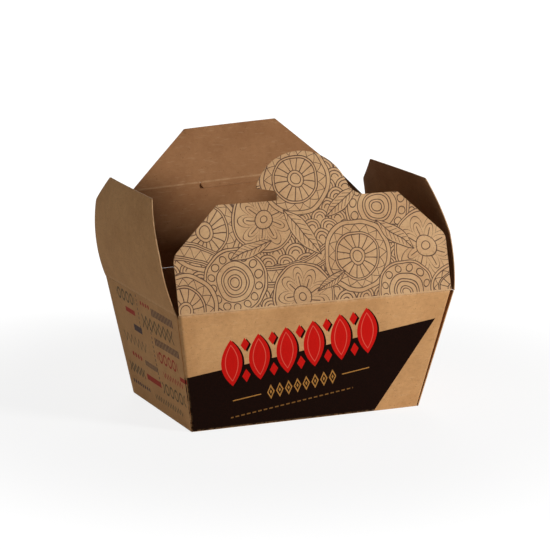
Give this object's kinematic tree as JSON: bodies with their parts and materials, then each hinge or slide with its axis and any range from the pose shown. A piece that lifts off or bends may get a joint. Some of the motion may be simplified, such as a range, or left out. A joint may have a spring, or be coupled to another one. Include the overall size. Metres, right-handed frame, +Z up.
{
  "type": "takeout carton",
  "caption": "Open folding food carton in kraft board: a tapered tray with web corners, two side flaps, a front flap with a locking tab and a back flap with a slit.",
  "frame": {"origin": "middle of the base, on the surface that the carton stands on", "axes": "+X along the front wall to the right, +Y from the front wall to the back wall, +Z up"},
  "size_m": [0.1632, 0.1128, 0.1397],
  "materials": {
    "kraft_board": "uncoated brown kraft board, matte, with fine fibres and specks; dark, red and ochre print on the front and left walls and thin brown line work on the front flap"
  },
  "bodies": {
    "carton_body": {"carton_body": "kraft_board"},
    "front_flap": {"front_flap": "kraft_board"},
    "back_flap": {"back_flap": "kraft_board"},
    "left_flap": {"left_flap": "kraft_board"},
    "right_flap": {"right_flap": "kraft_board"}
  },
  "joints": [
    {"name": "front_flap_crease", "type": "hinge", "parent": "carton_body", "child": "front_flap", "pos_m": [0, -0.05277, 0.064], "axis": [-1, 0, 0], "range_deg": [-135, 75]},
    {"name": "back_flap_crease", "type": "hinge", "parent": "carton_body", "child": "back_flap", "pos_m": [0, 0.05277, 0.064], "axis": [1, 0, 0], "range_deg": [-126, 80]},
    {"name": "left_flap_crease", "type": "hinge", "parent": "carton_body", "child": "left_flap", "pos_m": [-0.07577, 0, 0.0631], "axis": [0, 1, 0], "range_deg": [-97, 116]},
    {"name": "right_flap_crease", "type": "hinge", "parent": "carton_body", "child": "right_flap", "pos_m": [0.07732, 0, 0.0631], "axis": [0.0278, -0.9996, 0], "range_deg": [-112, 101]}
  ]
}
